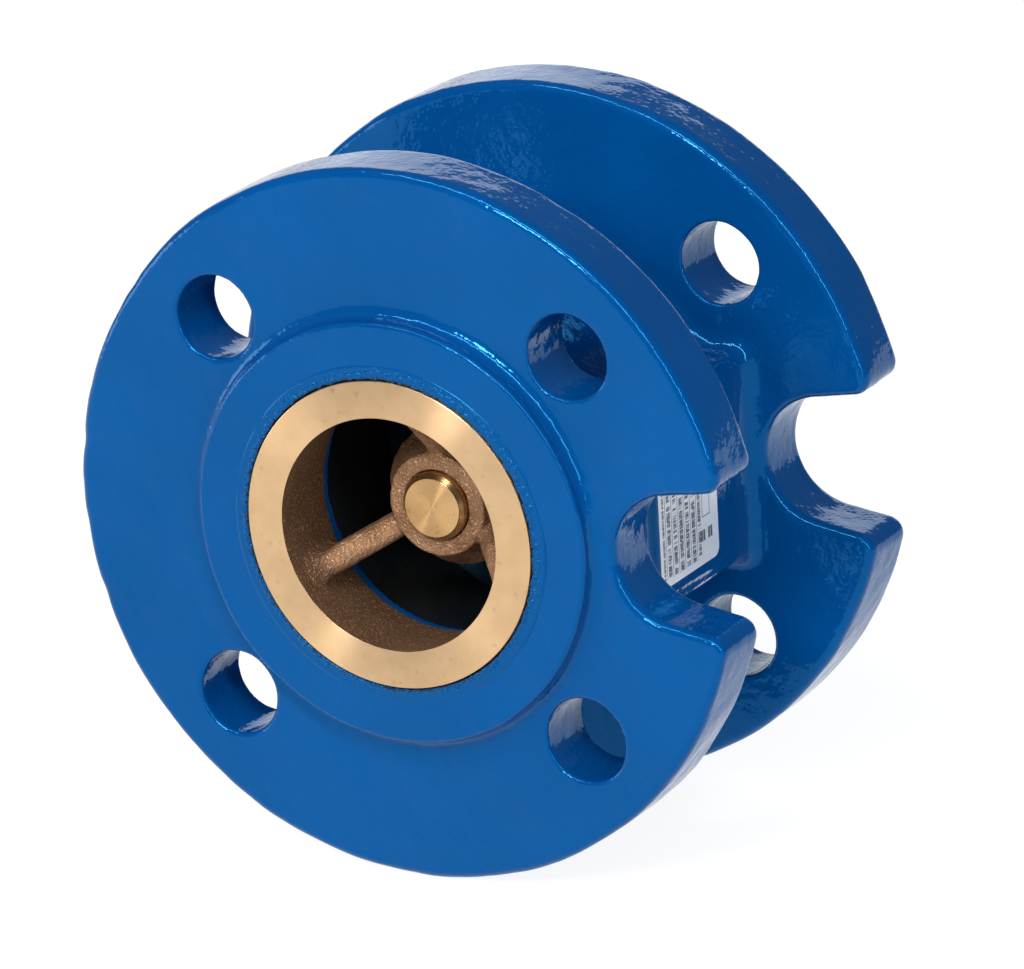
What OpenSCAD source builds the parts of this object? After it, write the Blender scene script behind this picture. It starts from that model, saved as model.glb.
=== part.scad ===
// Flanged axial check valve, nominal bore 50 mm.
// One iron casting carries both flanges. A spring loaded disc closes on a bronze seat ring at
// the inlet, and its stem slides in a bronze guide that fills the outlet.
// The pipe runs along Y. The origin is the centre of the outlet face, and +Y points into the
// valve, towards the inlet. Every station is a distance from the outlet face.

/* [Flanges] */
// Distance between the two flange faces
face_to_face = 100; // [98:0.5:104]
// Outside diameter of a flange
flange_d = 165; // [162:1:170]
// Thickness of a flange behind its raised face
flange_t = 17.4; // [16:0.1:18.5]
// Diameter of the raised face
raised_d = 98; // [95:0.5:100]
// Height of the raised face
raised_h = 4.9; // [4.5:0.1:5.5]
// Diameter of the circle of bolts
bolt_circle_d = 125; // [122:0.5:127]
// Diameter of a bolt hole
bolt_hole_d = 19; // [16:0.5:20]
// Number of bolts in a flange
bolt_count = 4; // [4]

/* [Notches] */
// Radius of the round bottom of a notch
notch_r = 14.8; // [13:0.1:16]
// Distance from the pipe axis to the centre of the round bottom
notch_x = 68.4; // [67:0.1:70]
// Angle at which each side of a notch opens
notch_flare = 9; // [4:1:12]
// Radius of the lip where a notch meets the rim
notch_lip_r = 4.5; // [3:0.1:6]

/* [Neck and boss] */
// Outside diameter of the neck between the flanges
neck_d = 88; // [86:0.5:90]
// Inside diameter of the chamber
chamber_d = 76; // [74:0.5:78]
// Distance from the pipe axis to the flat of the boss
boss_x = 49.5; // [48:0.1:51]
// Height of the boss
boss_h = 49; // [44:0.5:52]
// Height of the raised pad on the boss
pad_h = 40; // [38:0.5:41]
// Length of the raised pad along the pipe
pad_l = 34; // [32:0.5:36]
// How far the pad stands proud of the boss
pad_proud = 1; // [0.5:0.1:1.5]

/* [Bores] */
// Diameter of the outlet bore that takes the guide
outlet_bore_d = 71.6; // [71.4:0.1:72]
// Diameter of the inlet bore that takes the seat ring
inlet_bore_d = 74.2; // [74:0.1:74.6]
// Depth of the outlet bore
outlet_bore_depth = 24.6; // [24:0.1:25]
// Depth of the inlet bore
inlet_bore_depth = 26; // [25.5:0.1:26.5]

/* [Disc and stem] */
// How far the disc lifts
lift = 12; // [8:0.5:12]
// Diameter of the stem where it slides in the outlet guide
stem_d = 15.9; // [15:0.1:16.2]
// Diameter of the pilot that slides in the inlet guide
pilot_d = 10; // [9:0.1:10.5]
// Running clearance around the stem, on the radius
running_gap = 0.08; // [0.03:0.01:0.1]
// Outside diameter of the disc
disc_d = 59; // [57.4:0.1:60]
// Diameter of the wire of the closing spring
wire_d = 2; // [1.6:0.1:2.2]
// Number of turns of the closing spring
spring_turns = 7.5; // [6:0.5:8]

/* [Rating label] */
// Length of the label along the pipe
label_l = 27.5; // [20:0.5:29]
// Height of the label
label_h = 35.2; // [28:0.5:37]
// Thickness of the label
label_t = 0.2; // [0.1:0.05:0.3]

/* [Hidden] */
$fn = 96;
over = 1;
arc_steps = 6;

paint_blue = [0.02, 0.36, 0.68];
cast_bronze = [0.48, 0.34, 0.23];
turned_bronze = [0.80, 0.66, 0.44];
brass = [0.83, 0.68, 0.38];
steel = [0.72, 0.73, 0.75];
rubber = [0.08, 0.08, 0.09];
label_grey = [0.80, 0.82, 0.86];

// Flanges and neck
flange_r = flange_d / 2;
raised_r = raised_d / 2;
neck_r = neck_d / 2;
flange_back = raised_h + flange_t;
raised_edge_r = 1.6;
raised_blend_r = 3;
rim_edge_r = 3;
neck_blend_r = 5;
notch_bite = 0.05;
notch_over = 0.2;

// Boss and its pad, centred between the flanges along the pipe
mid = face_to_face / 2;
boss_edge_r = 3;
boss_root_x = 30;
pad_mid = mid - 2;
pad_corner_r = 4;

// Inside of the casting
outlet_bore_r = outlet_bore_d / 2;
inlet_bore_r = inlet_bore_d / 2;
chamber_r = chamber_d / 2;
outlet_lip_r = 31;
outlet_lip_end = outlet_bore_depth + 3.6;
outlet_slope_end = outlet_lip_end + 5.8;
inlet_lip_r = 33.5;
inlet_shoulder = face_to_face - inlet_bore_depth;
inlet_lip_start = inlet_shoulder - 3;
inlet_slope_start = inlet_lip_start - 4;

// Outlet guide
guide_r = outlet_bore_r - 0.2;
guide_mouth_r = 27;
guide_tail_r = 30.2;
guide_edge = 0.4;
arm_count = 3;
arm_w = 5;
arm_front = 6;
hub_r = 12;
hub_face = 22;
cup_floor = 29.5;
cup_end = 33;
cup_r = 16.5;
cup_bore_r = 14.7;

// O-rings of the two bronze rings
o_ring_d = 2.3;
groove_w = 2.8;
groove_depth = 2.2;
o_ring_gap = 0.05;

// Seat ring
seat_r = inlet_bore_r - 0.2;
seat_mouth_r = 27;
throat_r = 25;
land_r = 28.4;
nose_r = 32;
seat_plane = inlet_shoulder - 2.5;
nose_face = seat_plane + 1;
inlet_hub_r = 11;
inlet_hub_start = 81.2;
inlet_hub_end = 97;

// Stem, disc and what is clamped on them
stem_r = stem_d / 2;
pilot_r = pilot_d / 2;
stem_tip = 19.8;
stem_end = 98.8;
tip_chamfer = 1;
washer_t = 1;
collar_r = 10.5;
collar_start = cup_floor + washer_t + lift + 0.1;
disc_front = 64.5;
disc_back = 69;
thread_r = 6;
thread_gap = 0.03;
disc_r = disc_d / 2;
disc_lip_w = 0.8;
disc_lip_end = 70.9;
disc_boss_r = 17;
seal_r = disc_r - disc_lip_w - 0.1;
seal_proud = 0.05;
seal_face = seat_plane - seal_proud;
retainer_r = 22;
retainer_lip_r = 24.1;
retainer_lip = 70.4;
retainer_end = 72.5;
lock_washer_t = 1.4;
nut_start = retainer_end + lock_washer_t;
nut_h = 6.1;
nut_flats = 18;
thread_end = nut_start + nut_h;
stem_ring_d = 1.8;
stem_ring_r = 7.1;
stem_ring_bore_r = 8.2;

// Closing spring
spring_r = 12.6;
spring_gap = 0.05;
spring_start = cup_floor + washer_t + spring_gap;
spring_end = disc_front - spring_gap;
dead_pitch = wire_d + 0.1;
spring_rise = spring_end - spring_start - wire_d;
live_pitch = (spring_rise - 2 * dead_pitch) / (spring_turns - 2);
steps_per_turn = 24;
wire_sides = 10;

// Rating label
label_mid = mid - 4.25;
label_corner_r = 2.2;

// Points along an arc, from angle a0 to angle a1
function arc(x, y, r, a0, a1) = [
    for (i = [0:arc_steps]) let (a = a0 + (a1 - a0) * i / arc_steps) [x + r * cos(a), y + r * sin(a)]
];

// A list of [radius, station] points seen from the other end of the valve
function flipped(points) = [for (i = [len(points) - 1:-1:0]) [points[i][0], face_to_face - points[i][1]]];

// Puts local X on X, local Y on Z and local Z along the pipe
module along_pipe() {
    rotate([90, 0, 0]) mirror([0, 0, 1]) children();
}

// A solid of revolution about the pipe axis, from [radius, station] points
module turned(points) {
    along_pipe() rotate_extrude() polygon(points);
}

module ring(inner_r, outer_r, start, end) {
    turned([[inner_r, start], [outer_r, start], [outer_r, end], [inner_r, end]]);
}

module o_ring(middle_r, section_d, station) {
    along_pipe() rotate_extrude() translate([middle_r, station]) circle(d = section_d, $fn = 32);
}

module rounded_rectangle(w, h, r) {
    square([w - 2 * r, h], center = true);
    square([w, h - 2 * r], center = true);
    for (x = [-1, 1], y = [-1, 1]) translate([x * (w / 2 - r), y * (h / 2 - r)]) circle(r, $fn = 32);
}

// A rounded plate that lies in the YZ plane and grows along +X
module side_plate(x, station, w, h, r, t) {
    translate([x, station, 0]) rotate([90, 0, 90]) linear_extrude(t) rounded_rectangle(w, h, r);
}

// Arms that join a hub to its ring; the outline holds [radius, station] points
module arms(outline) {
    along_pipe() for (i = [0:arm_count - 1])
        rotate([0, 0, 90 + i * 360 / arm_count])
            rotate([90, 0, 0]) linear_extrude(arm_w, center = true) polygon(outline);
}

// ---- Casting ----

half_outline = concat(
    [[0, 0]],
    arc(raised_r - raised_edge_r, raised_edge_r, raised_edge_r, -90, 0),
    arc(raised_r + raised_blend_r, raised_h - raised_blend_r, raised_blend_r, 180, 90),
    arc(flange_r - rim_edge_r, raised_h + rim_edge_r, rim_edge_r, -90, 0),
    arc(flange_r - rim_edge_r, flange_back - rim_edge_r, rim_edge_r, 0, 90),
    arc(neck_r + neck_blend_r, flange_back + neck_blend_r, neck_blend_r, -90, -180)
);

module outer_casting() {
    turned(concat(half_outline, flipped(half_outline)));
    along_pipe() translate([(boss_x + boss_root_x) / 2, 0, flange_back - over])
        linear_extrude(face_to_face - 2 * flange_back + 2 * over)
            rounded_rectangle(boss_x - boss_root_x, boss_h, boss_edge_r);
    side_plate(boss_x - over, pad_mid, pad_l, pad_h, pad_corner_r, pad_proud + over);
}

module waterway() {
    turned([
        [0, -over], [outlet_bore_r, -over], [outlet_bore_r, outlet_bore_depth],
        [outlet_lip_r, outlet_bore_depth], [outlet_lip_r, outlet_lip_end],
        [chamber_r, outlet_slope_end], [chamber_r, inlet_slope_start],
        [inlet_lip_r, inlet_lip_start], [inlet_lip_r, inlet_shoulder],
        [inlet_bore_r, inlet_shoulder], [inlet_bore_r, face_to_face + over], [0, face_to_face + over]
    ]);
}

module bolt_holes() {
    along_pipe() for (i = [0:bolt_count - 1])
        rotate([0, 0, (i + 0.5) * 360 / bolt_count])
            translate([bolt_circle_d / 2, 0, -over]) cylinder(d = bolt_hole_d, h = face_to_face + 2 * over);
}

// Half of a notch's outline: a straight flank that leaves the round bottom, then a lip that rolls
// over into the rim. The lip circle touches the flank and just crosses the rim.
function notch_side() =
    let (
        along = [cos(notch_flare), sin(notch_flare)],
        across = [-sin(notch_flare), cos(notch_flare)],
        bottom = [notch_x, 0],
        offset_point = bottom + (notch_r - notch_bite + notch_lip_r) * across,
        half_b = offset_point * along,
        lip_reach = flange_r + notch_over - notch_lip_r,
        run = sqrt(half_b ^ 2 - offset_point * offset_point + lip_reach ^ 2) - half_b,
        lip = offset_point + run * along,
        lip_end = atan2(lip[1], lip[0])
    )
    concat(
        [bottom + (notch_r - notch_bite) * across],
        arc(lip[0], lip[1], notch_lip_r, notch_flare - 90, lip_end),
        [1.2 * flange_r * [cos(lip_end), sin(lip_end)]]
    );

module notches() {
    side = notch_side();
    other_side = [for (i = [len(side) - 1:-1:0]) [side[i][0], -side[i][1]]];
    along_pipe() translate([0, 0, -over]) linear_extrude(face_to_face + 2 * over) {
        translate([notch_x, 0]) circle(notch_r);
        polygon(concat(side, [[2 * flange_r, 0]], other_side));
    }
}

module valve_body() {
    color(paint_blue) difference() {
        outer_casting();
        waterway();
        bolt_holes();
        notches();
    }
}

// ---- Outlet guide ----

guide_groove = 9;

module outlet_guide() {
    color(cast_bronze) difference() {
        union() {
            turned([
                [guide_mouth_r, 0], [guide_r - guide_edge, 0], [guide_r, guide_edge],
                [guide_r, guide_groove], [guide_r - groove_depth, guide_groove],
                [guide_r - groove_depth, guide_groove + groove_w], [guide_r, guide_groove + groove_w],
                [guide_r, outlet_bore_depth], [guide_tail_r, outlet_bore_depth]
            ]);
            turned([
                [0, hub_face], [hub_r - 0.8, hub_face], [hub_r, hub_face + 0.5],
                [hub_r + 0.5, hub_face + 4], [cup_r, cup_end - 2.5], [cup_r, cup_end], [0, cup_end]
            ]);
            arms([
                [hub_r - 1, hub_face + 2], [guide_mouth_r + 1.5, arm_front], [guide_tail_r + 1, arm_front],
                [guide_tail_r + 1, 20], [cup_r - 1, 31]
            ]);
        }
        turned([
            [0, hub_face - over], [stem_r + running_gap, hub_face - over],
            [stem_r + running_gap, cup_floor], [cup_bore_r, cup_floor],
            [cup_bore_r, cup_end + over], [0, cup_end + over]
        ]);
    }
}

module outlet_guide_o_ring() {
    color(rubber)
        o_ring(guide_r - groove_depth + o_ring_gap + o_ring_d / 2, o_ring_d, guide_groove + groove_w / 2);
}

// ---- Seat ring at the inlet ----

seat_groove = face_to_face - 12;

module seat_ring() {
    color(cast_bronze) difference() {
        union() {
            turned([
                [seat_mouth_r, face_to_face], [throat_r, nose_face + 5], [throat_r, seat_plane],
                [land_r, seat_plane], [land_r + 0.6, nose_face], [nose_r, nose_face],
                [nose_r, inlet_shoulder], [seat_r, inlet_shoulder],
                [seat_r, seat_groove], [seat_r - groove_depth, seat_groove],
                [seat_r - groove_depth, seat_groove + groove_w], [seat_r, seat_groove + groove_w],
                [seat_r, face_to_face - guide_edge], [seat_r - guide_edge, face_to_face]
            ]);
            ring(0, inlet_hub_r, inlet_hub_start, inlet_hub_end);
            arms([
                [inlet_hub_r - 2, 82.5], [throat_r + 2.5, 84], [throat_r + 2.5, 92.5], [inlet_hub_r - 2, 96]
            ]);
        }
        ring(0, pilot_r + running_gap, inlet_hub_start - over, inlet_hub_end + over);
    }
}

module seat_ring_o_ring() {
    color(rubber)
        o_ring(seat_r - groove_depth + o_ring_gap + o_ring_d / 2, o_ring_d, seat_groove + groove_w / 2);
}

// ---- Moving set ----

module stem() {
    color(brass) turned([
        [0, stem_tip], [stem_r - tip_chamfer, stem_tip], [stem_r, stem_tip + tip_chamfer],
        [stem_r, collar_start], [collar_r, collar_start], [collar_r, disc_front],
        [thread_r, disc_front], [thread_r, thread_end], [pilot_r, thread_end + 0.6],
        [pilot_r, stem_end - 0.6], [pilot_r - 0.6, stem_end], [0, stem_end]
    ]);
}

module disc() {
    color(turned_bronze) difference() {
        turned([
            [thread_r + thread_gap, disc_front], [disc_boss_r, disc_front],
            [disc_r - 1, disc_front + 1.7], [disc_r, disc_front + 2.7], [disc_r, disc_lip_end],
            [disc_r - disc_lip_w, disc_lip_end], [disc_r - disc_lip_w, disc_back],
            [thread_r + thread_gap, disc_back]
        ]);
        ring(0, stem_ring_bore_r, disc_front - over, disc_front + stem_ring_d + 0.1);
    }
}

module stem_o_ring() {
    color(rubber) o_ring(stem_ring_r, stem_ring_d, disc_front + stem_ring_d / 2 + 0.05);
}

module disc_seal() {
    color(rubber) turned([
        [retainer_r + 0.1, disc_back], [seal_r, disc_back], [seal_r, seal_face],
        [retainer_lip_r + 0.2, seal_face], [retainer_lip_r + 0.2, retainer_lip - 0.05],
        [retainer_r + 0.1, retainer_lip - 0.05]
    ]);
}

module seal_retainer() {
    color(turned_bronze) turned([
        [thread_r + thread_gap, disc_back], [retainer_r, disc_back], [retainer_r, retainer_lip],
        [retainer_lip_r, retainer_lip], [retainer_lip_r, retainer_end - 1],
        [retainer_lip_r - 1, retainer_end], [thread_r + thread_gap, retainer_end]
    ]);
}

module lock_washer() {
    color(steel) ring(thread_r + 0.2, nut_flats / 2 + 1.2, retainer_end, nut_start);
}

module disc_nut() {
    color(steel) difference() {
        along_pipe() translate([0, 0, nut_start])
            cylinder(r = nut_flats / 2 / cos(30), h = nut_h, $fn = 6);
        ring(0, thread_r + thread_gap, nut_start - over, thread_end + over);
    }
}

module thrust_washer() {
    color(steel) ring(stem_r + 0.3, cup_bore_r - 0.3, cup_floor, cup_floor + washer_t);
}

// ---- Closing spring: closed end turns, evenly pitched between them ----

function spring_height(turn) =
    turn < 1 ? turn * dead_pitch :
    turn < spring_turns - 1 ? dead_pitch + (turn - 1) * live_pitch :
    spring_rise - (spring_turns - turn) * dead_pitch;

spring_steps = spring_turns * steps_per_turn;

spring_points = [
    for (i = [0:spring_steps], j = [0:wire_sides - 1])
        let (
            turn = i / steps_per_turn,
            a = 360 * turn,
            b = 360 * j / wire_sides,
            reach = spring_r + wire_d / 2 * cos(b),
            station = spring_start + wire_d / 2 * (1 + sin(b)) + spring_height(turn)
        )
        [reach * cos(a), station, reach * sin(a)]
];

spring_sides = [
    for (i = [0:spring_steps - 1], j = [0:wire_sides - 1])
        let (here = i * wire_sides, there = here + wire_sides, k = (j + 1) % wire_sides)
        [here + j, here + k, there + k, there + j]
];

spring_caps = [
    [for (j = [wire_sides - 1:-1:0]) j],
    [for (j = [0:wire_sides - 1]) spring_steps * wire_sides + j]
];

module closing_spring() {
    color(steel) polyhedron(points = spring_points, faces = concat(spring_sides, spring_caps));
}

// ---- Rating label ----

module rating_label() {
    color(label_grey)
        side_plate(boss_x + pad_proud, label_mid, label_l, label_h, label_corner_r, label_t);
}

valve_body();
outlet_guide();
outlet_guide_o_ring();
seat_ring();
seat_ring_o_ring();
stem();
thrust_washer();
closing_spring();
disc();
stem_o_ring();
disc_seal();
seal_retainer();
lock_washer();
disc_nut();
rating_label();
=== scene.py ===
# Flanged axial check valve for 50 mm pipe: one painted iron casting, two bronze rings, and a
# spring-loaded disc whose stem slides in the outlet ring's hub. Sizes in the sections are
# millimetres in the valve's own frame: X to the label, Y along the pipe from the outlet face, Z up.
import math

import bpy
import numpy as np
from mathutils import Matrix, Vector


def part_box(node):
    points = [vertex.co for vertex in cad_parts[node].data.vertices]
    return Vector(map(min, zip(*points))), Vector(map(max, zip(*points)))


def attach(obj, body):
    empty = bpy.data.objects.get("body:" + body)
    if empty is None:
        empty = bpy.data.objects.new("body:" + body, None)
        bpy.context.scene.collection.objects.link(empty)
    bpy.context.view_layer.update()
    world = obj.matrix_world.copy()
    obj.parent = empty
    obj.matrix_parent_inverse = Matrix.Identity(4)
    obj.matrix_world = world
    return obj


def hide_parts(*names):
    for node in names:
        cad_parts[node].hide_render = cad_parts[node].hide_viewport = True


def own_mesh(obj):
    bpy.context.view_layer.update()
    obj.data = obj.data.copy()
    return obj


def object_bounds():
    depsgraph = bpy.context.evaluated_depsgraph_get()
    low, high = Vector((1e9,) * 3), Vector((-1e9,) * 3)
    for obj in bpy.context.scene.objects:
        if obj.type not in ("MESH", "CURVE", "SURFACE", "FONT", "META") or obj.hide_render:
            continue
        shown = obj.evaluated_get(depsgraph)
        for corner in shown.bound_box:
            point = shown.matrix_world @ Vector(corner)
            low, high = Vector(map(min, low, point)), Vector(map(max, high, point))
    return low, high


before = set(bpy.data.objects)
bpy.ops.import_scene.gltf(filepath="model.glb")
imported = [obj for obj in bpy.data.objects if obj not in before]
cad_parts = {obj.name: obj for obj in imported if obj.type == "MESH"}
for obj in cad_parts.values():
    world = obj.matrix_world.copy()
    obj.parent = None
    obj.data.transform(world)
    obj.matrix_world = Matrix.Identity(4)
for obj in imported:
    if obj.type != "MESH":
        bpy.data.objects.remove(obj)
cad_low, cad_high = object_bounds()
MM = 0.001

# ---- Casting ----
# The real piece is one ductile iron casting with a drilled flange at each end, a boss for the label
# and the waterway cored through it. It is coated all over in thick blue epoxy, which rounds every
# edge and has a slight orange peel. Only the bores are machined, and the coating is cut back there.


def cut_to(a, b, edge):
    """The solid inside both a and b, with the edge between them rounded."""
    past_a, past_b = np.maximum(edge + a, 0), np.maximum(edge + b, 0)
    return np.minimum(-edge, np.maximum(a, b)) + np.hypot(past_a, past_b)


def joined(a, b, fillet):
    """The solid of a and b together, with a fillet in the corner between them."""
    near_a, near_b = np.maximum(fillet - a, 0), np.maximum(fillet - b, 0)
    return np.maximum(fillet, np.minimum(a, b)) - np.hypot(near_a, near_b)


def ripples(seed, count, shortest, longest, height):
    """A gentle uneven surface: waves of many directions and lengths, added together."""
    random = np.random.default_rng(seed)
    directions = random.normal(size=(count, 3))
    directions /= np.linalg.norm(directions, axis=1)[:, None]
    lengths = random.uniform(shortest, longest, count)
    starts = random.uniform(0, 2 * math.pi, count)
    each = height / math.sqrt(count / 2)

    def wave(x, s, z):
        total = 0
        for (dx, ds, dz), length, start in zip(directions, lengths, starts):
            total = total + each * np.sin((x * dx + s * ds + z * dz) * 2 * math.pi / length + start)
        return total

    return wave


def to_object(name, points, faces, sharp=None):
    """A smooth-shaded object from points in millimetres; edges bent by more than sharp stay crisp."""
    mesh = bpy.data.meshes.new(name)
    mesh.from_pydata((np.asarray(points) * MM).tolist(), [], [list(face) for face in faces])
    mesh.validate()
    mesh.shade_smooth()
    if sharp is not None:
        mesh.set_sharp_from_angle(angle=math.radians(sharp))
    made = bpy.data.objects.new(name, mesh)
    bpy.context.scene.collection.objects.link(made)
    return made


def slope(depth, points):
    """The direction in which depth grows, at each point."""
    near = 0.02
    parts = []
    for axis in range(3):
        step = np.zeros(3)
        step[axis] = near
        parts.append(depth(*(points + step).T) - depth(*(points - step).T))
    parts = np.stack(parts, -1)
    return parts / np.maximum(np.linalg.norm(parts, axis=1), 1e-9)[:, None]


def cast(name, depth, low, high, grain, skin=None, rounds=3):
    """A closed mesh of quads round the solid where depth is below zero. skin is depth with the
    surface's small unevenness added; the points are evened out and settled on it."""
    axes = [np.arange(a - 2 * grain, b + 2.5 * grain, grain) for a, b in zip(low, high)]
    field = np.broadcast_to(
        depth(*np.meshgrid(*axes, indexing="ij", sparse=True)), [len(a) for a in axes])
    inside = field < 0
    count = np.zeros([n - 1 for n in inside.shape], np.uint8)
    for corner in np.ndindex(2, 2, 2):
        count += inside[tuple(slice(c, c + n) for c, n in zip(corner, count.shape))]
    crossed = (count > 0) & (count < 8)
    number = np.full(count.shape, -1)
    total = int(crossed.sum())
    number[crossed] = np.arange(total)
    place, hits, quads = np.zeros((total, 3)), np.zeros(total), []
    origin = np.array([a[0] for a in axes])
    for axis in range(3):
        second, third = (axis + 1) % 3, (axis + 2) % 3
        here = [slice(None)] * 3
        there = [slice(None)] * 3
        here[axis], there[axis] = slice(None, -1), slice(1, None)
        first, last = field[tuple(here)], field[tuple(there)]
        edge = np.argwhere((first < 0) != (last < 0))
        before, after = first[tuple(edge.T)], last[tuple(edge.T)]
        point = edge.astype(float)
        point[:, axis] += before / (before - after)
        around = []
        for back_second, back_third in ((1, 1), (0, 1), (0, 0), (1, 0)):
            cell = edge.copy()
            cell[:, second] -= back_second
            cell[:, third] -= back_third
            cell = number[tuple(cell.T)]
            around.append(cell)
            hits += np.bincount(cell, minlength=total)
            for k in range(3):
                place[:, k] += np.bincount(cell, weights=point[:, k], minlength=total)
        around = np.stack(around, -1)
        quads.append(np.where((before < 0)[:, None], around, around[:, ::-1]))
    quads = np.concatenate(quads)
    points = origin + grain * place / hits[:, None]
    links = np.concatenate([quads[:, [k, (k + 1) % 4]] for k in range(4)])
    settled = skin or depth
    share = np.bincount(links[:, 0], minlength=total) + np.bincount(links[:, 1], minlength=total)
    for _ in range(rounds):
        middle = np.stack([
            np.bincount(links[:, 0], weights=points[links[:, 1], k], minlength=total)
            + np.bincount(links[:, 1], weights=points[links[:, 0], k], minlength=total)
            for k in range(3)], -1) / share[:, None]
        points = (points + middle) / 2
        for _ in range(2):
            points = points - slope(settled, points) * settled(*points.T)[:, None]
    made = to_object(name, points, quads)
    made.data.normals_split_custom_set_from_vertices(slope(settled, points).tolist())
    return made


class Wire:
    """An output socket of a finish. Sums written with it add Math nodes."""

    def __init__(self, finish, socket):
        self.finish, self.socket = finish, socket

    def maths(self, operation, a, b=0.0):
        return self.finish.add("Math", {"operation": operation}, {0: a, 1: b})

    def __add__(self, other):
        return self.maths("ADD", self, other)

    def __sub__(self, other):
        return self.maths("SUBTRACT", self, other)

    def __rsub__(self, other):
        return self.maths("SUBTRACT", other, self)

    def __mul__(self, other):
        return self.maths("MULTIPLY", self, other)

    def __truediv__(self, other):
        return self.maths("DIVIDE", self, other)

    def __gt__(self, other):
        return self.maths("GREATER_THAN", self, other)

    def __lt__(self, other):
        return self.maths("LESS_THAN", self, other)

    def __abs__(self):
        return self.maths("ABSOLUTE", self)

    __radd__, __rmul__ = __add__, __mul__


class Finish:
    """A material with one Principled shader, built up by adding nodes."""

    def __init__(self, name, **fixed):
        self.material = bpy.data.materials.new(name)
        self.material.use_nodes = True
        self.tree = self.material.node_tree
        self.shader = self.tree.nodes["Principled BSDF"]
        for socket, value in fixed.items():
            self.shader.inputs[socket.replace("_", " ")].default_value = value
        self.place = self.add("TexCoord", {}, {}, "Object")

    def add(self, kind, settings, sockets, out=0):
        node = self.tree.nodes.new("ShaderNode" + kind)
        for key, value in settings.items():
            setattr(node, key, value)
        for key, value in sockets.items():
            if isinstance(value, Wire):
                self.tree.links.new(value.socket, node.inputs[key])
            else:
                node.inputs[key].default_value = value
        return Wire(self, node.outputs[out])

    def drive(self, **sockets):
        for socket, wire in sockets.items():
            self.tree.links.new(wire.socket, self.shader.inputs[socket.replace("_", " ")])
        return self.material

    def noise(self, vector, scale, detail, rough):
        """Soft noise from 0 to 1 over any vector."""
        return self.add("TexNoise", {}, {
            "Vector": vector, "Scale": scale, "Detail": detail, "Roughness": rough})

    def specks(self, size, detail=2.0, rough=0.5):
        """The same over the piece itself, with features about size millimetres across."""
        return self.noise(self.place, 1 / (size * MM), detail, rough)

    def parts(self):
        """The three coordinates of the place on the piece."""
        split = self.add("SeparateXYZ", {}, {0: self.place}).socket.node
        return [Wire(self, output) for output in split.outputs]

    def off_axis(self, across):
        """Distance from an axis of the piece. across has 1 for each coordinate that counts."""
        flat = self.add("VectorMath", {"operation": "MULTIPLY"}, {0: self.place, 1: across})
        return self.add("VectorMath", {"operation": "LENGTH"}, {0: flat}, "Value")

    def larger(self, first, second):
        return self.add("Math", {"operation": "MAXIMUM"}, {0: first, 1: second})

    def grains(self, size):
        """Distance to the nearest of many scattered grains, size millimetres apart."""
        return self.add("TexVoronoi", {}, {"Vector": self.place, "Scale": 1 / (size * MM)}, "Distance")

    def fade(self, value, low, high):
        """0 where value is below low, 1 above high, smooth between."""
        return self.add("MapRange", {"interpolation_type": "SMOOTHSTEP"}, {
            "Value": value, "From Min": low, "From Max": high})

    def blend(self, share, first, second):
        """A colour from first to second as share goes from 0 to 1."""
        colours = {k: (*v, 1) if isinstance(v, tuple) else v for k, v in ((6, first), (7, second))}
        return self.add("Mix", {"data_type": "RGBA"}, {0: share, **colours}, 2)

    def bump(self, height, depth_mm, below=None):
        """A normal from height, where 1 stands for depth_mm, on top of another bump."""
        sockets = {"Height": height, "Strength": 1.0, "Distance": depth_mm * MM}
        if below is not None:
            sockets["Normal"] = below
        return self.add("Bump", {}, sockets)


body_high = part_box("valve_body")[1]
flange_r = body_high.z / MM
length = body_high.y / MM
half_length = length / 2
flange_front, flange_back = 4.9, 22.3
flange_middle, flange_half = (flange_front + flange_back) / 2, (flange_back - flange_front) / 2
rim_edge = 2.2
raised_r, raised_edge, raised_fillet, face_below_ring = 48.9, 1.1, 2.8, 0.3
neck_r, neck_fillet = 44, 5
notch_x, notch_r, notch_lip, notch_flare = 68.4, 14.8, 4.5, math.radians(9)
boss_x, boss_half_height, boss_edge, boss_fillet, boss_root = 49.5, 24.5, 3.2, 4.5, 30
pad_x, pad_middle, pad_half_length, pad_half_height, pad_corner = 50.5, 48, 17, 20, 4
pad_edge, pad_fillet = 0.95, 2.2
bolt_circle_r, bolt_hole_r, bolt_hole_edge = 62.5, 9.5, 1.1
outlet_bore_r, outlet_bore_end, outlet_lip_r, outlet_lip_end = 35.8, 24.6, 31, 28.2
inlet_bore_r, inlet_bore_start, inlet_lip_r = 37.1, 74, 33.5
chamber_r, chamber_start, chamber_end, inlet_lip_start = 38, 34, 67, 71


def waterway_depth(r, s):
    """The cored waterway: a bore and a lip at each end, and a wider chamber between them."""
    slope_in = (chamber_start - outlet_lip_end, chamber_r - outlet_lip_r)
    slope_out = (inlet_lip_start - chamber_end, chamber_r - inlet_lip_r)
    near_end = (r - outlet_lip_r) * slope_in[0] - (s - outlet_lip_end) * slope_in[1]
    far_end = (r - chamber_r) * slope_out[0] + (s - chamber_end) * slope_out[1]
    near_end, far_end = near_end / math.hypot(*slope_in), far_end / math.hypot(*slope_out)
    chamber = np.maximum(r - chamber_r, np.maximum(near_end, far_end))
    outlet_bore = np.maximum(r - outlet_bore_r, s - outlet_bore_end)
    inlet_bore = np.maximum(r - inlet_bore_r, inlet_bore_start - s)
    inlet_lip = np.maximum(r - inlet_lip_r, half_length - s)
    outlet_lip = r - outlet_lip_r
    ways = np.broadcast_arrays(chamber, outlet_bore, inlet_bore, inlet_lip, outlet_lip)
    return np.minimum.reduce(ways)


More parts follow.
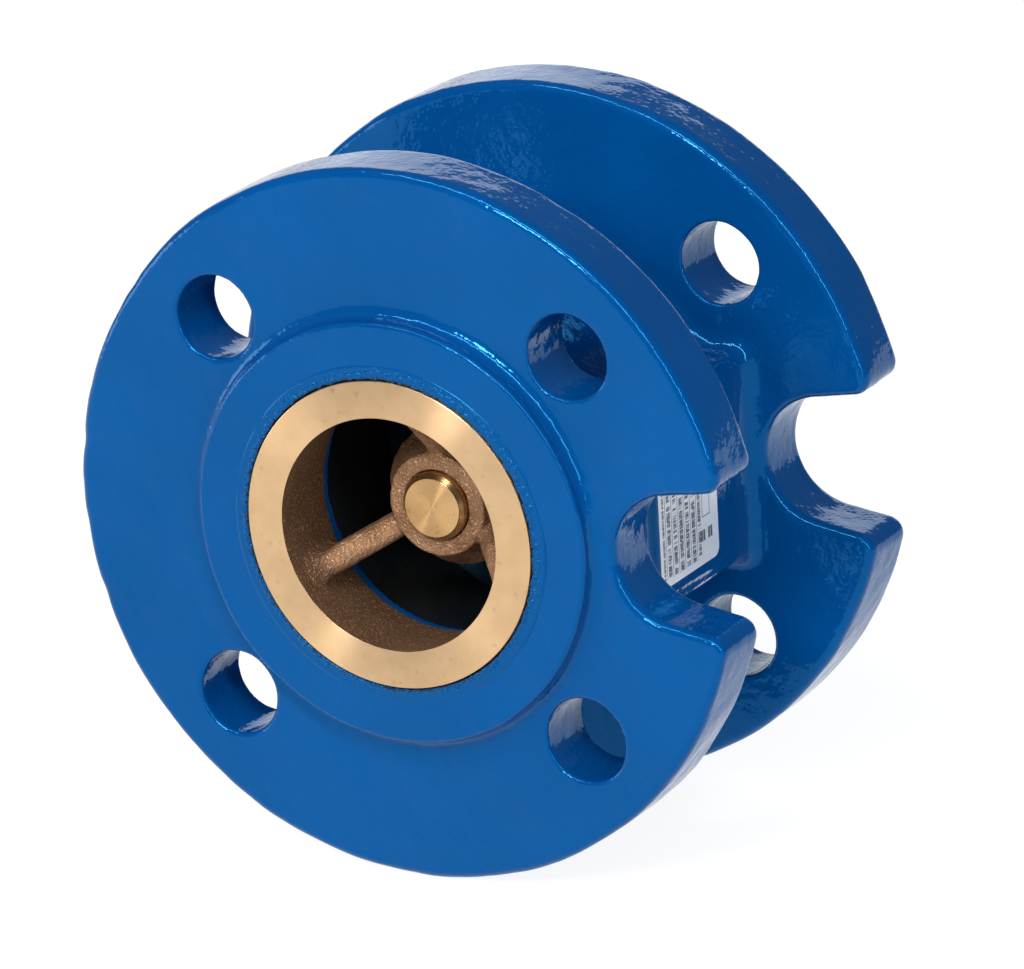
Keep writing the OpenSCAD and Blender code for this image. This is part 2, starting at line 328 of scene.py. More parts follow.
def casting_depth(x, s, z):
    """The bare casting, both ends alike, with the waterway cut out of it."""
    r = np.hypot(x, z)
    from_face = half_length - np.abs(s - half_length)
    # plan of a flange: a disc with a round-bottomed notch that flares to the rim
    along = (x - notch_x) * math.cos(notch_flare) + np.abs(z) * math.sin(notch_flare)
    flank = np.abs(z) * math.cos(notch_flare) - (x - notch_x) * math.sin(notch_flare)
    notch = np.where(along > 0, flank, np.hypot(x - notch_x, z)) - notch_r
    plan = cut_to(r - flange_r, -notch, notch_lip)
    solid = cut_to(plan, np.abs(from_face - flange_middle) - flange_half, rim_edge)
    raised = cut_to(r - raised_r, face_below_ring - from_face, raised_edge)
    solid = joined(solid, np.maximum(raised, from_face - flange_middle), raised_fillet)
    solid = joined(solid, np.maximum(r - neck_r, flange_middle - from_face), neck_fillet)
    boss = cut_to(x - boss_x, np.abs(z) - boss_half_height, boss_edge)
    boss = np.maximum(boss, np.maximum(boss_root - x, flange_middle - from_face))
    solid = joined(solid, boss, boss_fillet)
    pad_plan = cut_to(np.abs(s - pad_middle) - pad_half_length, np.abs(z) - pad_half_height, pad_corner)
    pad = np.maximum(cut_to(x - pad_x, pad_plan, pad_edge), boss_root - x)
    solid = joined(solid, pad, pad_fillet)
    across = bolt_circle_r / math.sqrt(2)
    holes = np.hypot(np.abs(x) - across, np.abs(z) - across) - bolt_hole_r
    solid = cut_to(solid, -holes, bolt_hole_edge)
    return cut_to(solid, -waterway_depth(r, s), 0.5)


foundry_waves = ripples(11, 22, 14, 46, 0.10)
foundry_dimples = ripples(12, 26, 4, 9, 0.022)
coat_lost = 0.16  # how far the coated skin is drawn in, so that its waves stay inside the casting's size
# bruises on the rim: angle round the pipe in degrees, station, depth, width
bruises = [
    (172, 6, 0.4, 2.6), (186, 8, 0.35, 2.2), (197, 5.5, 0.35, 3.0), (143, 5, 0.25, 3.0), (64, 22, 0.3, 3.5),
    (118, 84, 0.3, 3), (236, 92, 0.4, 4), (20, 80, 0.3, 3), (300, 10, 0.3, 3)]


def coated_depth(x, s, z):
    """The casting with its coating: the sand's waves and dimples, and a few bruises on the rims."""
    dents = 0
    for angle, station, deep, wide in bruises:
        a = math.radians(angle)
        away = np.hypot(np.hypot(x - flange_r * math.cos(a), z - flange_r * math.sin(a)), s - station)
        dents = dents + deep * np.exp(-(away / wide) ** 2)
    # the label's pad is nearly flat
    off_pad = np.maximum(np.abs(s - pad_middle) - pad_half_length, np.abs(z) - pad_half_height)
    calm = np.where(x > 40, np.clip((off_pad + 2) / 3, 0.12, 1), 1)
    waves = (foundry_waves(x, s, z) + foundry_dimples(x, s, z)) * calm
    return casting_depth(x, s, z) + coat_lost + waves + dents


casting = cast(
    "casting", casting_depth, (-flange_r, 0, -flange_r), (flange_r, length, flange_r),
    0.8, coated_depth)

# both painted pieces share the coating's gloss
gloss = {"Specular_IOR_Level": 0.65, "Specular_Tint": (0.07, 0.48, 0.9, 1)}
epoxy = Finish("blue_epoxy", Roughness=0.1, IOR=1.5, **gloss)
thick = epoxy.specks(38, 3.0)
peel = epoxy.specks(3.0, 1.4)
grit = epoxy.grains(1.3)
dust = epoxy.fade(epoxy.specks(0.7, 1.0), 0.72, 0.8)
blue = epoxy.blend(epoxy.fade(thick, 0.3, 0.7), (0.0002, 0.047, 0.180), (0.0002, 0.054, 0.204))
# past the lips the core's wall is painted near black and made rougher: a painted shade for the deep shadow
# inside the chamber
chamber_painted_shade = (epoxy.off_axis((1, 0, 1)) < (chamber_r + 0.7) * MM) * epoxy.fade(
    epoxy.parts()[1], (outlet_lip_end + 0.4) * MM, (outlet_lip_end + 1.2) * MM)
dusty = epoxy.blend(dust * 0.25, blue, (0.004, 0.09, 0.26))
# the base colour goes near black inside the chamber: painted shade
epoxy.drive(
    Base_Color=epoxy.blend(chamber_painted_shade, dusty, (0.010, 0.011, 0.014)),
    Roughness=epoxy.fade(epoxy.specks(9, 3.0), 0.2, 0.8) * 0.07 + chamber_painted_shade * 0.4 + 0.06,
    Normal=epoxy.bump(epoxy.fade(grit, 0.0, 0.6), 0.028, epoxy.bump(peel, 0.14)))
casting.data.materials.append(epoxy.material)
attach(casting, "valve")
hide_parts("valve_body")

# ---- Blistered edge of the coating round the outlet bore ----
# Where the coating stops at the machined bore it stands up in a thin bead, with small blisters in
# it from the gas that leaves the iron in the oven. There are more of them over the top of the bore.
edge_inner, edge_outer = 35.85, 39.2
turn_steps, across_steps = 1680, 30
edge_random = np.random.default_rng(5)
turn, across = np.meshgrid(
    np.arange(turn_steps) * 2 * math.pi / turn_steps, np.linspace(0, 1, across_steps), indexing="ij")
reach = edge_inner + (edge_outer - edge_inner) * across
inner_x, inner_z = reach[:, :1] * np.cos(turn[:, :1]), reach[:, :1] * np.sin(turn[:, :1])
bead_middle = edge_inner + 0.62 + 0.5 * ripples(21, 30, 2.2, 9, 0.16)(inner_x, 0, inner_z)
bead = 0.12 * np.exp(-((reach - bead_middle) / 0.42) ** 2)
drawn_in = 0.55 * np.exp(-(reach - edge_inner) / 0.16)
height = bead - drawn_in - 0.32 * np.clip((across - 0.8) / 0.2, 0, 1) ** 2 + 0.02
for _ in range(1500):
    angle = edge_random.uniform(0, 2 * math.pi)
    upper = 0.5 + 0.5 * math.sin(angle + 0.5)
    if edge_random.uniform() > 0.35 + 0.65 * upper:
        continue
    blister_r = edge_random.uniform(0.2, 0.42 + 0.3 * upper)
    centre = edge_inner + 0.35 + abs(edge_random.normal(0, 0.45 + 0.35 * upper))
    off_turn = ((turn[:, :1] - angle + math.pi) % (2 * math.pi) - math.pi) * centre
    rows = np.nonzero(np.abs(off_turn[:, 0]) < blister_r)[0]
    inside_r = blister_r ** 2 - off_turn[rows] ** 2 - (reach[rows] - centre) ** 2
    dome = np.sqrt(np.maximum(inside_r, 0)) * 0.9
    if edge_random.uniform() < 0.3:  # a burst one, with a hollow middle
        dome = np.where(inside_r > 0.75 * blister_r ** 2, -0.1, dome * 0.6)
        raised = np.minimum(height[rows] + dome, 0.28)
    else:
        raised = np.maximum(height[rows], dome - 0.02)
    height[rows] = np.where(inside_r > 0, raised, height[rows])
height = np.minimum(height, face_below_ring - 0.01)
top = np.stack([reach * np.cos(turn), face_below_ring - height, reach * np.sin(turn)], -1)
under = top[:, -1:].copy()
under[..., 1] += 0.5
loops = np.concatenate([top, under], 1)
per_turn = across_steps + 1
index = np.arange(turn_steps * per_turn).reshape(turn_steps, per_turn)
ahead, outward = np.roll(index, -1, 0), np.roll(index, -1, 1)
bead_faces = np.stack([index, ahead, np.roll(ahead, -1, 1), outward], -1).reshape(-1, 4)
paint_edge = to_object("coating_edge", loops.reshape(-1, 3), bead_faces)

edge_coat = Finish("blistered_epoxy", Roughness=0.14, **gloss)
# dark specks along the bore: a painted shade for the crevices round the blisters
by_bore = 1 - edge_coat.fade(edge_coat.off_axis((1, 0, 1)), 36.1 * MM, 36.9 * MM)
painted_crevice_shade = edge_coat.fade(edge_coat.specks(0.7, 3.0), 0.46, 0.56) * by_bore
edge_coat.drive(
    Base_Color=edge_coat.blend(painted_crevice_shade, (0.0002, 0.050, 0.182), (0.012, 0.012, 0.014)),
    Roughness=edge_coat.specks(0.9) * 0.25 + 0.08,
    Normal=edge_coat.bump(edge_coat.specks(0.45, 2.0), 0.05))
paint_edge.data.materials.append(edge_coat.material)
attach(paint_edge, "valve")

# ---- Seat ring ----
# A bronze casting that fills the inlet bore: turned all over outside and on its raised seat, left
# as cast inside, with three arms and a hub that guides the stem's pilot. An O-ring holds it.
arm_angles = [math.radians(90 + 120 * k) for k in range(3)]
seat_body_r, seat_mouth_r, throat_r, throat_end = 36.9, 27, 25, 77.5
groove_depth, groove_width = 2.2, 2.8


def softened(corners, steps=4):
    """The outline through (radius, station, rounding) corners, each rounded by its own radius."""
    outline = []
    for k, (r, s, rounding) in enumerate(corners):
        here = np.array([r, s], float)
        to_last = np.array(corners[k - 1][:2]) - here
        to_next = np.array(corners[(k + 1) % len(corners)][:2]) - here
        lengths = np.linalg.norm(to_last), np.linalg.norm(to_next)
        if rounding == 0:
            outline.append(here)
            continue
        to_last, to_next = to_last / lengths[0], to_next / lengths[1]
        back_off = min(rounding, 0.45 * min(lengths))
        for step in range(steps + 1):
            t = step / steps
            outline.append(here + back_off * ((1 - t) ** 2 * to_last + t ** 2 * to_next))
    return outline


def lathe(name, corners, steps=256):
    """A piece turned about the pipe's axis. Its own Z lies along the pipe, so that what its
    finish does round Z follows the tool marks."""
    outline = np.array(softened(corners))
    angles = np.arange(steps) * 2 * math.pi / steps
    points = np.stack([
        np.outer(np.cos(angles), outline[:, 0]), np.outer(np.sin(angles), outline[:, 0]),
        np.outer(np.ones(steps), outline[:, 1])], -1).reshape(-1, 3)
    index = np.arange(steps * len(outline)).reshape(steps, len(outline))
    ahead = np.roll(index, -1, 0)
    faces = np.stack([index, ahead, np.roll(ahead, -1, 1), np.roll(index, -1, 1)], -1).reshape(-1, 4)
    on_axis = outline[:, 0] < 1e-6
    if on_axis.any():
        # a corner on the axis is one point, not one for each step round it
        corner = faces % len(outline)
        faces = np.where(on_axis[corner], corner, faces)[on_axis[corner].sum(1) < 4]
        used, renumbered = np.unique(faces, return_inverse=True)
        points = points[used]
        faces = [list(dict.fromkeys(face)) for face in renumbered.reshape(faces.shape).tolist()]
    made = to_object(name, points, faces, sharp=32)
    made.matrix_world = Matrix.Rotation(-math.pi / 2, 4, "X")
    return made


def turned_finish(name, dark, light, roughness, tool_mark=0.0004):
    """Bronze or brass fresh from a lathe: fine rings that spread its reflections across them."""
    finish = Finish(name, Metallic=1.0, Anisotropic=0.95, Anisotropic_Rotation=0.25)
    rings = finish.add("CombineXYZ", {}, {0: finish.off_axis((1, 1, 0)) * 1000, 1: 0.0, 2: 0.0})
    lines = finish.noise(rings, 5.0, 4.0, 0.7)
    cloud = finish.specks(7, 4.0)
    stain = finish.fade(finish.specks(2.2, 3.0), 0.60, 0.75)
    colour = finish.blend(finish.fade(cloud, 0.35, 0.65), dark, light)
    shade = tuple(0.72 * c for c in dark)
    finish.drive(
        Base_Color=finish.blend(stain * 0.35 + lines * 0.12, colour, shade),
        Roughness=finish.fade(lines, 0.3, 0.7) * 0.06 + stain * 0.10 + (roughness - 0.03),
        Normal=finish.bump(lines, tool_mark))
    return finish.material


def cast_finish(name, low, high, across):
    """Sand-cast bronze: a brown grainy skin with glints where the grains stand proud. Between the grains
    the ring's wall is painted darker than the arms, a painted shade for the recessed wall. across picks the
    two axes that lie across the pipe."""
    finish = Finish(name, Roughness=0.5, Specular_IOR_Level=0.5)
    sand = finish.specks(0.6, 2.0, 0.6)
    fine = finish.grains(0.8)
    cloud = finish.specks(6, 3.0)
    proud = finish.fade(sand, 0.52, 0.72)
    warmer = tuple(0.7 * a + 0.3 * b for a, b in zip(low, high))
    colour = finish.blend(finish.fade(cloud, 0.3, 0.7), low, warmer)
    # painted shade: between the grains the wall's colour is darkened where it sits back from the hub
    wall_shade_share = finish.fade(finish.off_axis(across), 23 * MM, 26.5 * MM)
    painted_wall_shade = tuple(0.4 * c for c in low)
    finish.drive(
        Base_Color=finish.blend(wall_shade_share * (1 - proud) * 0.8, finish.blend(proud, colour, high), painted_wall_shade),
        Metallic=proud * 0.35 + 0.45,
        Roughness=0.58 - proud * 0.22,
        Normal=finish.bump(fine, 0.16, finish.bump(sand, 0.6)))
    return finish.material


bronze_face = turned_finish("turned_bronze", (0.64, 0.42, 0.225), (0.70, 0.465, 0.255), 0.30)
skin_brown, glint = (0.245, 0.121, 0.056), (0.72, 0.43, 0.24)
bronze_skin = cast_finish("cast_bronze", skin_brown, glint, (1, 0, 1))
bronze_wall = cast_finish("cast_bronze_wall", skin_brown, glint, (1, 1, 0))


def two_finishes(piece, is_cast):
    """Turned bronze all over, but cast bronze on the faces that is_cast picks by radius and station."""
    piece.data.materials.append(bronze_face)
    piece.data.materials.append(bronze_wall)
    for face in piece.data.polygons:
        if is_cast(math.hypot(face.center.x, face.center.y) / MM, face.center.z / MM):
            face.material_index = 1


def seat_wall_r(s):
    return throat_r + (seat_mouth_r - throat_r) * (s - throat_end) / (length - throat_end)


def groove(outer_r, start):
    """The four corners of an O-ring's groove in a ring's outside."""
    floor_r, end = outer_r - groove_depth, start + groove_width
    return [(outer_r, start, 0.1), (floor_r, start, 0.1), (floor_r, end, 0.1), (outer_r, end, 0.1)]


seat_groove = length - 12
seat_shell = lathe("seat_ring_shell", [
    (seat_mouth_r, length, 0.15), (throat_r, throat_end, 1.0), (throat_r, 71.5, 0.3), (28.4, 71.5, 0.2),
    (29, 72.5, 0.2), (32, 72.5, 0.3), (32, 74, 0), (seat_body_r, 74, 0.3),
    *groove(seat_body_r, seat_groove), (seat_body_r, length, 0.4)])
two_finishes(seat_shell, lambda r, s: r < 27.2 and s > 72.5)


def spider_depth(x, s, z, wall_r, hollow, arm_half, front, back, hub, root_fillet, first_s, last_s):
    """Three arms from a hub to the wall of a ring. front and back are the arm's two sloping sides."""
    r = np.hypot(x, z)
    wall = wall_r + 0.12 - r
    arms = np.full(np.broadcast(x, s, z).shape, 1e3)
    for angle in arm_angles:
        along = x * math.cos(angle) + z * math.sin(angle)
        aside = np.abs(z * math.cos(angle) - x * math.sin(angle)) - arm_half
        bar = cut_to(cut_to(aside, front(along, s), arm_half * 0.8), back(along, s), 1.2)
        arms = np.minimum(arms, np.maximum(bar, 6 - along))
    foot = np.maximum(joined(wall, arms, root_fillet), np.maximum(r - wall_r - 1.0, arms - root_fillet - 0.7))
    foot = np.maximum(foot, np.maximum(first_s - s, s - last_s))
    return cut_to(joined(foot, hub, 1.0), -hollow, 0.3)


def side(start, end):
    """Distance outside the sloping line from start to end, both (radius, station)."""
    run, rise = end[0] - start[0], end[1] - start[1]
    size = math.hypot(run, rise)
    return lambda along, s: ((along - start[0]) * rise - (s - start[1]) * run) / size


def seat_spider_depth(x, s, z):
    """The seat ring's arms and the short hub round the stem's pilot."""
    r = np.hypot(x, z)
    hub = cut_to(r - 11, np.abs(s - 89.1) - 7.9, 1.4)
    return spider_depth(
        x, s, z, seat_wall_r(s), r - 5.08, 2.5, side((9, 82.5), (27.5, 84)), side((27.5, 92.5), (9, 96)), hub,
        3.0, 80.5, 96.5)


sand_waves = ripples(31, 24, 1.6, 5, 0.05)
seat_spider = cast(
    "seat_ring_spider", seat_spider_depth, (-29, 80, -29), (29, 98, 29), 0.5,
    lambda x, s, z: seat_spider_depth(x, s, z) + sand_waves(x, s, z))
seat_spider.data.materials.append(bronze_skin)


rubber_finish = Finish("black_rubber", Roughness=0.5, Specular_IOR_Level=0.4)
bloom = rubber_finish.specks(1.8, 4.0)
rubber_finish.drive(
    Base_Color=rubber_finish.blend(bloom, (0.012, 0.012, 0.013), (0.04, 0.04, 0.042)),
    Roughness=bloom * 0.25 + 0.38,
    Normal=rubber_finish.bump(rubber_finish.specks(0.3), 0.01))
rubber = rubber_finish.material


def o_ring(name, middle_r, section, station):
    """A ring of round rubber. middle_r is the radius to the middle of its section."""
    half = section / 2
    ring = lathe(name, [
        (middle_r + half * math.cos(a), station + half * math.sin(a), 0)
        for a in np.arange(16) * math.pi / 8])
    ring.data.set_sharp_from_angle(angle=math.pi)
    ring.data.materials.append(rubber)
    return ring


def fit(body, *rows):
    """Each row is a piece, the part it stands for and its material; the material is not used."""
    for piece, node, slot in rows:
        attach(piece, body)
        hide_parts(node)


ring_seal = 2.3
seat_o_ring = o_ring("seat_ring_seal", 36.0, ring_seal, seat_groove + groove_width / 2)
fit("valve", (seat_shell, "seat_ring", "cast_bronze"), (seat_spider, "seat_ring", "cast_bronze"),
    (seat_o_ring, "seat_ring_o_ring", "black_rubber"))

# ---- Disc, stem and what clamps them ----
# The moving set. A brass stem with a collar carries a turned bronze disc. A retainer clamps a flat
# rubber seal into the disc's rim, and a stainless nut and spring washer pull it all to the collar.
stem = lathe("valve_stem", [
    (0, 19.8, 0), (6.85, 19.8, 0.12), (7.05, 20.05, 0.05), (7.82, 20.75, 0.05), (7.95, 21.1, 0.1),
    (7.95, 42.6, 0.1), (10.5, 42.6, 0.4), (10.5, 64.5, 0.2), (6, 64.5, 0), (6, 79.4, 0.3),
    (5, 80.6, 0.3), (5, 98.8, 0.6), (0, 98.8, 0)])
brass_face = turned_finish("turned_brass", (0.60, 0.36, 0.155), (0.66, 0.405, 0.185), 0.27)
stem.data.materials.append(brass_face)
disc = lathe("valve_disc", [
    (8.2, 64.5, 0.1), (17, 64.5, 0.6), (28.5, 66.2, 0.5), (29.5, 67.2, 0.3), (29.5, 70.9, 0.2),
    (28.7, 70.9, 0.15), (28.7, 69, 0.1), (6.03, 69, 0), (6.03, 66.4, 0), (8.2, 66.4, 0)])
disc.data.materials.append(bronze_face)
stem_seal = o_ring("stem_seal", 7.1, 1.8, 65.45)
disc_seal = lathe("disc_seal_ring", [
    (22.1, 69, 0), (28.6, 69, 0.1), (28.6, 71.45, 0.25), (24.3, 71.45, 0.15), (24.3, 70.35, 0.1),
    (22.1, 70.35, 0)])
disc_seal.data.materials.append(rubber)
retainer = lathe("seal_retaining_ring", [
    (6.03, 69, 0), (22, 69, 0.1), (22, 70.4, 0.1), (24.1, 70.4, 0.15), (24.1, 71.5, 0.3), (23.1, 72.5, 0.3),
    (6.03, 72.5, 0)])
retainer.data.materials.append(bronze_face)

steel_finish = Finish("stainless_steel", Metallic=1.0, Roughness=0.3)
streaks = steel_finish.specks(1.1, 4.0)
steel_finish.drive(
    Base_Color=steel_finish.blend(streaks, (0.42, 0.42, 0.43), (0.64, 0.64, 0.65)),
    Roughness=streaks * 0.2 + 0.2,
    Normal=steel_finish.bump(steel_finish.specks(0.25), 0.004))
steel = steel_finish.material


def nut_depth(x, s, z):
    """A six-sided nut, both its ends chamfered, with a plain bore."""
    r = np.hypot(x, z)
    flats = np.maximum.reduce(np.broadcast_arrays(*[
        np.abs(x * math.cos(a) + z * math.sin(a)) - 9
        for a in (math.pi / 6, math.pi / 2, 5 * math.pi / 6)]))
    from_middle = np.abs(s - 76.95)
    chamfer = (r - 9.6) * 0.5 + (from_middle - 3.0) * 0.866
    return cut_to(cut_to(np.maximum(flats, from_middle - 3.05), chamfer, 0.2), 6.03 - r, 0.3)


nut = cast("stem_nut", nut_depth, (-10.5, 73.9, -10.5), (10.5, 80, 10.5), 0.35)
split_steps, split_gap, split_lift = 88, 7, 0.12
washer_section = softened([
    (6.25, 72.62, 0.15), (10.2, 72.62, 0.15), (10.2, 73.78, 0.15), (6.25, 73.78, 0.15)], 2)


def swept_faces(stations, sides):
    """The quads of a bar with stations rings of points, sides in each, and its two flat ends."""
    index = np.arange(stations * sides).reshape(stations, sides)
    beside = np.roll(index, -1, 1)
    quads = np.stack([index[:-1], beside[:-1], beside[1:], index[1:]], -1).reshape(-1, 4)
    return quads.tolist() + [index[0, ::-1].tolist(), index[-1].tolist()]


washer_points = []
for k in range(split_steps + 1):
    angle = math.radians(split_gap + (360 - 2 * split_gap) * k / split_steps)
    lift = split_lift * (k / split_steps - 0.5)
    washer_points += [(r * math.cos(angle), s + lift, r * math.sin(angle)) for r, s in washer_section]
washer_faces = swept_faces(split_steps + 1, len(washer_section))
lock_washer = to_object("spring_washer", washer_points, washer_faces, sharp=40)
for piece in (nut, lock_washer):
    piece.data.materials.append(steel)
fit("disc_set", (stem, "stem", "turned_brass"), (disc, "disc", "turned_bronze"),
    (stem_seal, "stem_o_ring", "black_rubber"), (disc_seal, "disc_seal", "black_rubber"),
    (retainer, "seal_retainer", "turned_bronze"), (lock_washer, "lock_washer", "stainless_steel"),
    (nut, "disc_nut", "stainless_steel"))

# ---- Closing spring and its washer ----
# A stainless compression spring of round wire with closed ends. It stands on a thin washer in the
# cup of the outlet ring's hub and pushes the disc onto its seat, so it shortens as the disc lifts.
spring_r, wire_r, spring_turns = 12.6, 1.0, 7.5
spring_foot, spring_head = 30.55, 64.45
coil_steps, wire_sides = 56, 14
closed_pitch = 2.1
rise = spring_head - spring_foot - 2 * wire_r
open_pitch = (rise - 2 * closed_pitch) / (spring_turns - 2)
coil_count = int(spring_turns * coil_steps)
turns = np.arange(coil_count + 1) / coil_steps
heights = np.interp(
    turns, [0, 1, spring_turns - 1, spring_turns],
    [0, closed_pitch, closed_pitch + (spring_turns - 2) * open_pitch, rise])
from_start = np.arange(coil_count + 1)
blunt = np.clip(np.minimum(from_start, from_start[::-1]) / 3, 0, 1)
thickness = wire_r * np.sqrt(1 - (1 - blunt) ** 2 * 0.9)
around = np.arange(wire_sides) * 2 * math.pi / wire_sides
coil_reach = spring_r + np.outer(thickness, np.cos(around))
coil_points = np.stack([
    coil_reach * np.cos(2 * math.pi * turns)[:, None],
    (spring_foot + wire_r + heights)[:, None] + np.outer(thickness, np.sin(around)),
    coil_reach * np.sin(2 * math.pi * turns)[:, None]], -1).reshape(-1, 3)
spring = to_object("closing_spring_coil", coil_points, swept_faces(coil_count + 1, wire_sides), sharp=50)
spring.data.materials.append(steel)
thrust_washer = lathe("spring_thrust_washer", [
    (8.25, 29.5, 0.15), (14.4, 29.5, 0.15), (14.4, 30.5, 0.15), (8.25, 30.5, 0.15)])
thrust_washer.data.materials.append(steel)
fit("valve", (spring, "closing_spring", "stainless_steel"),
    (thrust_washer, "thrust_washer", "stainless_steel"))
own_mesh(spring)

# ---- Outlet guide ----
# The bronze casting in the outlet bore. Its face and rim are turned bright, and the tapering wall,
# the three arms and the hub that guides the stem are left as cast. An O-ring holds it in the bore.
guide_r, guide_mouth_r, guide_tail_r, guide_end, guide_groove = 35.6, 27, 30.2, 24.6, 9
guide_shell = lathe("outlet_guide_shell", [
    (guide_mouth_r, 0, 0.06), (guide_r, 0, 0.25), *groove(guide_r, guide_groove), (guide_r, guide_end, 0.3),
    (guide_tail_r, guide_end, 0.3)], 384)
two_finishes(guide_shell, lambda r, s: r < 32 and s > 0.05)


def guide_spider_depth(x, s, z):
    """The guide's arms and hub. The hub widens into a cup that holds the spring's foot."""
    r = np.hypot(x, z)
    hub = cut_to(r - 12 - 0.14 * (s - 22), 22.05 - s, 0.6)
    cup = np.maximum(np.maximum(side((12.5, 26), (16.5, 30.5))(r, s), r - 16.5), 24 - s)
    hub = cut_to(joined(hub, cup, 2), s - 33, 0.6)
    hollow = np.minimum(r - 8.12, np.maximum(r - 14.7, 29.5 - s))
    wall_r = guide_mouth_r + (guide_tail_r - guide_mouth_r) * s / guide_end
    return spider_depth(
        x, s, z, wall_r, hollow, 2.9, side((12, 23), (28.5, 6)), side((31, 20), (15.5, 31)), hub,
        2.8, 1.2, 32)


guide_spider = cast(
    "outlet_guide_spider", guide_spider_depth, (-33, 1, -33), (33, 33.5, 33), 0.42,
    lambda x, s, z: guide_spider_depth(x, s, z) + sand_waves(x, s, z))
guide_spider.data.materials.append(bronze_skin)
guide_o_ring = o_ring("outlet_guide_seal", 34.7, ring_seal, guide_groove + groove_width / 2)
fit("valve", (guide_shell, "outlet_guide", "cast_bronze"), (guide_spider, "outlet_guide", "cast_bronze"),
    (guide_o_ring, "outlet_guide_o_ring", "black_rubber"))

# ---- Rating label ----
# A printed silver film stuck on the boss's pad. The real one carries the maker's data, so this one
# has only ruled boxes and rows of plain dashes, printed in black.
label_low, label_high = (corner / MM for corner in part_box("rating_label"))
label_corner, label_steps = 2.2, 8
label_middle = (label_low + label_high) / 2
label_half = (label_high - label_low) / 2
outline = []
for quarter, (toward_s, toward_z) in enumerate([(1, 1), (-1, 1), (-1, -1), (1, -1)]):
    for step in range(label_steps + 1):
        angle = math.radians(90 * (quarter + step / label_steps))
        outline.append((
            label_middle.y + toward_s * (label_half.y - label_corner) + label_corner * math.cos(angle),
            label_middle.z + toward_z * (label_half.z - label_corner) + label_corner * math.sin(angle)))
levels = [(label_low.x - 0.35, 1.0), (label_high.x - 0.06, 1.0), (label_high.x, 0.996)]
label_points = [
    (x, label_middle.y + (s - label_middle.y) * share, label_middle.z + (z - label_middle.z) * share)
    for x, share in levels for s, z in outline]
rim_count = len(outline)
label_faces = [
    (level * rim_count + k, level * rim_count + (k + 1) % rim_count,
     (level + 1) * rim_count + (k + 1) % rim_count, (level + 1) * rim_count + k)
    for level in range(len(levels) - 1) for k in range(rim_count)]
label_faces += [tuple(range(rim_count))[::-1], tuple(range(2 * rim_count, 3 * rim_count))]
label = to_object("rating_label_film", label_points, label_faces, sharp=30)

film = Finish("printed_label_film", Roughness=0.34, Specular_IOR_Level=0.5)
along_film, up_film = film.parts()[1:]
# millimetres from the label's outlet side and from its foot
across_label = (along_film - (label_middle.y - label_half.y) * MM) / MM
up_label = (up_film - (label_middle.z - label_half.z) * MM) / MM
row_pitch = 2.9
row = film.add("Math", {"operation": "FLOOR"}, {0: across_label / row_pitch})
in_row = across_label / row_pitch - row
dash = film.noise(film.add("CombineXYZ", {}, {0: up_label * 0.9, 1: row * 7.3, 2: 0.0}), 1.0, 2.0, 0.8)
mark = film.noise(
    film.add("CombineXYZ", {}, {0: up_label * 5.0, 1: row * 3.1, 2: in_row * 2.0}), 1.0, 2.0, 0.6)
body_of_dash = film.fade(abs(in_row - 0.44), 0.30, 0.26) * (dash > 0.44) * film.fade(mark, 0.40, 0.46)
rule = film.fade(abs(in_row - 0.93), 0.05, 0.02)
rows = film.larger(body_of_dash, rule)
# past the rows, a ruled panel with two pairs of bars above and below it
past_rows = across_label > 19.2
panel_middle = 18.5
panel_x, panel_z = abs(across_label - 21.8) - 1.7, abs(up_label - panel_middle) - 7.5
panel = film.larger(panel_x, panel_z)
bars = (abs(abs(up_label - panel_middle) - 11.8) < 1.3) * film.fade(abs(abs(panel_x) - 0.55), 0.5, 0.4)
panel_and_bars = film.larger(film.fade(abs(panel), 0.16, 0.08), bars)
inside_edge = (up_label > 1.6) * (up_label < 33.6) * (across_label > 1.2) * (across_label < 24.6)
ink = (rows * (1 - past_rows) + panel_and_bars * past_rows) * inside_edge
silver = film.blend(film.specks(3.0, 3.0), (0.70, 0.73, 0.77), (0.82, 0.84, 0.88))
film.drive(
    Base_Color=film.blend(ink * 0.9, silver, (0.02, 0.02, 0.022)),
    Metallic=(1 - ink) * 0.25,
    Roughness=film.specks(1.4) * 0.14 + 0.28,
    Normal=film.bump(film.specks(5.0, 1.0), 0.02))
label.data.materials.append(film.material)
fit("valve", (label, "rating_label", "label_film"))

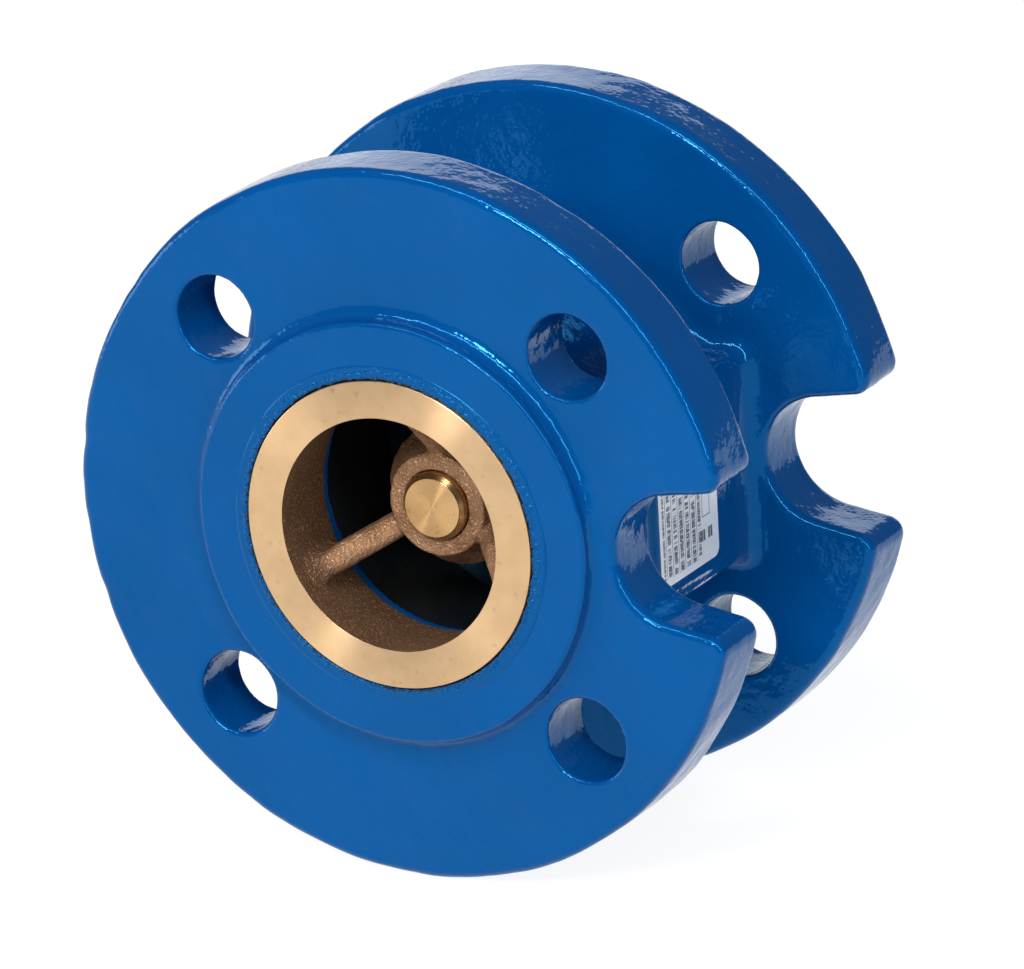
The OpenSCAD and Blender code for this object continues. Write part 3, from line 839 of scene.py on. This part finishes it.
# ---- Studio ----
# A plain pale floor, a small key light high in front, a long narrow one that draws the bright lines
# along the edges, softer ones from the left and from behind, and dim blue surroundings.
floor_mesh = bpy.data.meshes.new("floor")
floor_z, floor_half = cad_low.z, 6.0
floor_corners = [
    (x * floor_half, y * floor_half, floor_z) for x, y in ((-1, -1), (1, -1), (1, 1), (-1, 1))]
floor_mesh.from_pydata(floor_corners, [], [(0, 1, 2, 3)])
floor = bpy.data.objects.new("floor", floor_mesh)
bpy.context.scene.collection.objects.link(floor)
pale = Finish("pale_floor", Roughness=0.8, Specular_IOR_Level=0.1, Emission_Strength=0.9)
pale.shader.inputs["Emission Color"].default_value = (1, 1, 1, 1)
pale.drive(Base_Color=pale.blend(pale.specks(400, 2.0), (0.2, 0.2, 0.2), (0.22, 0.22, 0.22)))
floor_mesh.materials.append(pale.material)

valve_middle = (cad_low + cad_high) / 2


def softbox(name, place, width, height, watts, along=None):
    """A rectangular light at place, in metres from the valve's middle, which it faces. along is the
    direction of its width, level if it isn't given."""
    lamp = bpy.data.lights.new(name, "AREA")
    lamp.shape, lamp.size, lamp.size_y, lamp.energy = "RECTANGLE", width, height, watts
    made = bpy.data.objects.new(name, lamp)
    bpy.context.scene.collection.objects.link(made)
    back = Vector(place).normalized()
    wide = Vector(along).normalized() if along else Vector((0, 0, 1)).cross(back).normalized()
    back = (back - wide * back.dot(wide)).normalized()
    turned_to = Matrix((wide, back.cross(wide), back)).transposed().to_4x4()
    made.matrix_world = Matrix.Translation(valve_middle + Vector(place)) @ turned_to


softbox("key", (0.02, -1.28, 0.78), 0.3, 0.3, 12)
softbox("long_strip", (0.30, -0.66, 0.74), 2.4, 0.085, 15, (1.32, -0.18, -0.72))
softbox("front_left", (-1.5, -0.75, 0.1), 0.8, 0.5, 5)
softbox("pale_wall_behind", (-0.9, 1.6, 0.5), 2.6, 0.9, 9)

world = bpy.data.worlds.new("studio")
bpy.context.scene.world = world
world.use_nodes = True
surroundings = world.node_tree.nodes["Background"].inputs
surroundings["Color"].default_value = (0.5, 0.7, 1.0, 1)
surroundings["Strength"].default_value = 0.26

camera_azimuth, camera_elevation, camera_roll = (math.radians(a) for a in (29.573, 18.408, -3.135))
camera_distance, aim = 1.9455, Vector((0.0034, 0.0505, -0.0038))
turned_to = (
    Matrix.Rotation(camera_azimuth, 4, "Z") @ Matrix.Rotation(math.pi / 2 - camera_elevation, 4, "X")
    @ Matrix.Rotation(camera_roll, 4, "Z"))
camera_data = bpy.data.cameras.new("camera")
camera_data.lens, camera_data.sensor_width = 303.95, 36
camera = bpy.data.objects.new("camera", camera_data)
bpy.context.scene.collection.objects.link(camera)
camera.matrix_world = Matrix.Translation(aim + turned_to.col[2].to_3d() * camera_distance) @ turned_to
bpy.context.scene.camera = camera
bpy.context.scene.view_settings.view_transform = "Standard"
